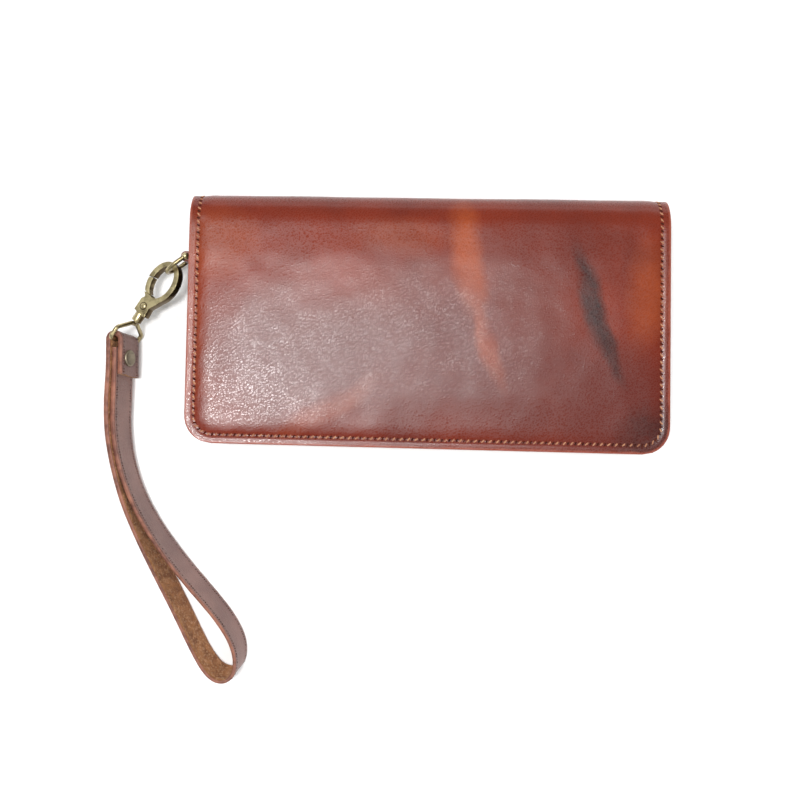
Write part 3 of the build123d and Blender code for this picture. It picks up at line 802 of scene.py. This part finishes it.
def makeStrap():
    line = strapLine()
    width, r = strap["width"], strap["edgeRound"]
    steps = [0.0, 0.06, 0.10, 0.14, 0.3, 0.5, 0.7, 0.86, 0.90, 0.94, 1.0]
    verts, faces, slots = [], [], []
    depth, breadth = strap["groove"]
    for i, (x, y) in enumerate(line):
        up, middle, leather = strapSection(y)
        half = leather / 2
        # the section: (out to the grain side, height up the width)
        outer = [(half, r + (width - 2 * r) * t) for t in steps]
        top = [(half - r + r * math.sin(a), width - r + r * math.cos(a)) for a in (1.05, 0.52)]
        top += [(0.0, width)]
        top += [(-a, b) for a, b in reversed(top[:-1])]
        inner = [(-half, b) for _, b in reversed(outer)]
        section = outer + top + inner + [(-a, width - b) for a, b in top]
        x0, y0 = line[max(i - 1, 0)]
        x1, y1 = line[min(i + 1, len(line) - 1)]
        heading = Vector((x1 - x0, y1 - y0, 0)).normalized()
        side = heading.cross(up).normalized()
        worn = strap["worn"] * noise.noise(Vector((x * 0.2, y * 0.2, 1.0)))
        for offset, height in section:
            inset = min(height, width - height)
            groove = depth * math.exp(-((inset - strap["seamInset"]) / breadth) ** 2)
            swell = math.copysign(worn - groove, offset) if abs(offset) > half * 0.9 else 0.0
            ragged = strap["ragged"] * noise.noise(Vector((height * 0.9, 0, 5.0))) * (i == 0)
            point = strapPoint(x, y, up, middle, height) + side * (offset + swell)
            verts.append((point + heading * ragged) * mm)
    count = len(section)
    kinds = ([0] * (len(outer) - 1) + [2] * (len(top) + 1) + [1] * (len(inner) - 1)
             + [2] * (len(top) + 1))
    for i in range(len(line) - 1):
        for j in range(count):
            a, b = i * count + j, i * count + (j + 1) % count
            faces.append((a, b, b + count, a + count))
            slots.append(kinds[j])
    last = (len(line) - 1) * count
    faces += [tuple(reversed(range(count))), tuple(range(last, last + count))]
    slots += [1, 1]
    obj = meshObject("strapLeather", verts, faces,
                     [mats["strapGrain"], mats["strapSuede"], mats["strapEdge"]])
    for face, slotNumber in zip(obj.data.polygons, slots):
        face.material_index = slotNumber
    bm = bmesh.new()
    bm.from_mesh(obj.data)
    bmesh.ops.recalc_face_normals(bm, faces=bm.faces)
    bm.to_mesh(obj.data)
    bm.free()
    smooth(obj, 50)
    return obj


# stitches along the grain side, height mm up from the strap's bottom edge
def strapSeam(height, name):
    threads, holes = [], []
    route = strapLine()
    for offset, places in ((0.0, holes), (strap["pitch"] / 2, threads)):
        for x, y, dx, dy in spaced(route, strap["pitch"], offset + 1.0):
            up, middle, leather = strapSection(y)
            along = Vector((dx, dy, 0))
            out = along.cross(up).normalized()
            point = strapPoint(x, y, up, middle, height) + out * (leather / 2 - 0.05)
            places.append((point, along, out))
    made = [
        setOut("strapThread" + name, "grain", threads, strap["thread"], mats["strapThread"],
               22.0, 8.0, 7),
        # dark discs of painted shade at the strap's needle holes
        setOut("strapHoleShade" + name, "disc", holes, strap["hole"], mats["holes"], 30.0, 8.0, 9),
    ]
    for obj in made:
        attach(obj, "strap")


strapLeather = makeStrap()
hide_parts("wrist_strap")
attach(strapLeather, "strap")
strapSeam(strap["width"] - strap["seamInset"], "Top")
strapSeam(strap["seamInset"], "Bottom")
print("strap made")


# cast pieces: body, rounding of the edges in mm, and how strongly shade is painted on the walls
castings = {
    "hook_body": ("hook", 0.32, 1.0),
    "hook_gate": ("gate", 0.26, 1.0),
    "swivel_loop": ("swivel", 0.0, 0.0),
}


# a casting's shape with its edges rubbed round; "wall" is 1 where it faces away from the flats
# and carries the painted shade of those side walls
def makeCasting(node, body, rounding, wallShade):
    across = Vector(joints["gate_pivot"]["axis"]).normalized()
    obj = meshObject(node + "Cast", [], [], [mats["brass"]])
    obj.data = nodes[node].data.copy()
    obj.data.materials.clear()
    obj.data.materials.append(mats["brass"])
    bm = bmesh.new()
    bm.from_mesh(obj.data)
    bmesh.ops.remove_doubles(bm, verts=bm.verts, dist=0.00001)
    bmesh.ops.dissolve_limit(bm, angle_limit=math.radians(1), verts=bm.verts, edges=bm.edges)
    bm.to_mesh(obj.data)
    bm.free()
    if rounding:
        bevel = obj.modifiers.new("rub", "BEVEL")
        bevel.width = rounding * mm
        bevel.segments = 3
        bevel.limit_method = "ANGLE"
        bevel.angle_limit = math.radians(35)
    split = obj.modifiers.new("split", "TRIANGULATE")
    split.min_vertices = 5
    applyModifiers(obj)
    smooth(obj, 35)
    # painted shade on the side walls, scaled by wallShade
    layer = obj.data.attributes.new("wall", "FLOAT", "FACE")
    layer.data.foreach_set("value", [wallShade * (1 - ramp01(abs(f.normal.dot(across)), 0.25, 0.85))
                                     for f in obj.data.polygons])
    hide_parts(node)
    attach(obj, body)


for castNode, (castBody, rounding, wallShade) in castings.items():
    makeCasting(castNode, castBody, rounding, wallShade)
print("castings rounded")


pin = {
    "shaft": 0.72,
    "dome": (1.35, 0.62),       # radius and rise over the flats
    "shadowRing": (1.72, 0.10),
    "reach": 1.8,
}


# a riveted pin: a dome each side, standing in a ring of painted shadow for the groove round each
# dome
def makePin():
    centre = Vector(joints["gate_pivot"]["pos_m"]) / mm
    across = Vector(joints["gate_pivot"]["axis"]).normalized()
    turn = across.to_track_quat("Z", "Y").to_matrix().to_4x4()
    radius, rise = pin["dome"]
    ring, ringRise = pin["shadowRing"]
    bm = bmesh.new()

    def cylinder(r, length, where):
        at = Matrix.Translation(centre + across * where) @ turn
        return bmesh.ops.create_cone(bm, cap_ends=True, segments=32, radius1=r, radius2=r,
                                     depth=length, matrix=at)["verts"]

    cylinder(pin["shaft"], 2 * pin["reach"], 0)
    for side in (-1, 1):
        at = Matrix.Translation(centre + across * (side * pin["reach"])) @ turn
        bmesh.ops.create_uvsphere(bm, u_segments=32, v_segments=16, radius=radius,
                                  matrix=at @ Matrix.Diagonal((1, 1, rise / radius, 1)))
        # painted shadow: a thin dark disc round each dome stands for the shade in the groove
        for vert in cylinder(ring, 2 * ringRise, side * pin["reach"]):
            for face in vert.link_faces:
                face.material_index = 1
    bmesh.ops.scale(bm, vec=(mm, mm, mm), verts=bm.verts)
    obj = meshObject("gatePinCast", [], [], [mats["brass"], mats["grooveShade"]])
    bm.to_mesh(obj.data)
    bm.free()
    smooth(obj, 40)
    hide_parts("gate_pin")
    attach(obj, "hook")


makePin()


finishes = {
    "back_lining": "lining", "front_lining": "lining",
    "card_panel": "pocket", "card_pocket_1": "pocket", "card_pocket_2": "pocket",
    "card_pocket_3": "pocket", "slip_pocket": "pocket",
    "zipper_tape_back": "tape", "zipper_tape_front": "tape",
    "zipper_stops_back": "zipMetal", "zipper_stops_front": "zipMetal",
    "zipper_slider": "zipMetal", "zipper_pull": "zipMetal",
    "ring_tab": "tab", "d_ring": "brass", "gate_spring": "steel",
    "strap_rivet_cap": "rivet", "strap_rivet_post": "rivet", "strap_rivet_back": "rivet",
}
for nodeName, matName in finishes.items():
    obj = nodes[nodeName]
    obj.data.materials.clear()
    obj.data.materials.append(mats[matName])
print("finishes set")


stage = {
    "floorHalf": 6.0,
    "floorColour": rgb(0.97, 0.97, 0.97),
    "skyToward": (-0.45, 0.35, 0.82),
    "skyStrength": (0.36, 0.62),
    # name, place, size, watts, aim
    "lights": [
        ("glowLeft", (-0.305, -0.050, 1.5), (0.29, 0.255), 12.2, (-0.305, -0.050, 0)),
        ("glowMiddle", (0.03, 0.085, 1.5), (0.33, 0.14), 3.9, (0.03, 0.085, 0)),
        ("key", (-0.62, 0.52, 1.15), (0.22, 0.22), 1.4, (-0.05, 0, 0)),
        ("window", (0.35, 1.4, 0.22), (1.6, 0.32), 3.0, (0, 0, 0.02)),
        ("fill", (0.9, -0.9, 0.9), (0.9, 0.9), 8.0, (0, 0, 0)),
    ],
    "camera": (-0.0113, -0.0325, 0.480),
    "roll": 0.95,
    "fieldOfView": 39.7,
}


def makeStage():
    s = stage["floorHalf"]
    n = Nodes("paleFloor")
    tone = n.noise(n.place(), 1.5, 2.0)
    n.surface(colour=n.mix(n.span(tone, 0.3, 0.7), stage["floorColour"], rgb(0.99, 0.99, 0.99)),
              roughness=0.9, specular=0.1)
    floor = meshObject("floor", [(-s, -s, 0), (s, -s, 0), (s, s, 0), (-s, s, 0)],
                       [(0, 1, 2, 3)], [n.material])
    floor.data.transform(Matrix.Translation((0, 0, -0.0002)))
    world = bpy.data.worlds.new("studio")
    world.use_nodes = True
    sky = world.node_tree
    where, lean, fade = [sky.nodes.new("ShaderNode" + kind)
                         for kind in ("TexCoord", "VectorMath", "MapRange")]
    lean.operation = "DOT_PRODUCT"
    lean.inputs[1].default_value = stage["skyToward"]
    fade.inputs["From Min"].default_value = -0.1
    fade.inputs["From Max"].default_value = 0.9
    fade.inputs["To Min"].default_value, fade.inputs["To Max"].default_value = (
        stage["skyStrength"])
    sky.links.new(where.outputs["Generated"], lean.inputs[0])
    sky.links.new(lean.outputs["Value"], fade.inputs["Value"])
    sky.links.new(fade.outputs["Result"], sky.nodes["Background"].inputs["Strength"])
    sky.nodes["Background"].inputs["Color"].default_value = rgb(1.0, 1.0, 1.0)
    scene = bpy.context.scene
    scene.world = world
    scene.view_settings.view_transform = "Standard"
    for name, place, size, watts, aim in stage["lights"]:
        data = bpy.data.lights.new(name, "AREA")
        data.shape = "RECTANGLE"
        data.size, data.size_y = size
        data.energy = watts
        lamp = bpy.data.objects.new(name, data)
        lamp.location = place
        lamp.rotation_mode = "QUATERNION"
        lamp.rotation_quaternion = (Vector(aim) - Vector(place)).to_track_quat("-Z", "Y")
        scene.collection.objects.link(lamp)
    data = bpy.data.cameras.new("camera")
    data.sensor_width = 36
    data.lens = 18 / math.tan(math.radians(stage["fieldOfView"] / 2))
    data.clip_start, data.clip_end = 0.01, 20
    camera = bpy.data.objects.new("camera", data)
    camera.location = stage["camera"]
    camera.rotation_euler = (0, 0, math.radians(stage["roll"]))
    scene.collection.objects.link(camera)
    scene.camera = camera


makeStage()
print("stage set")
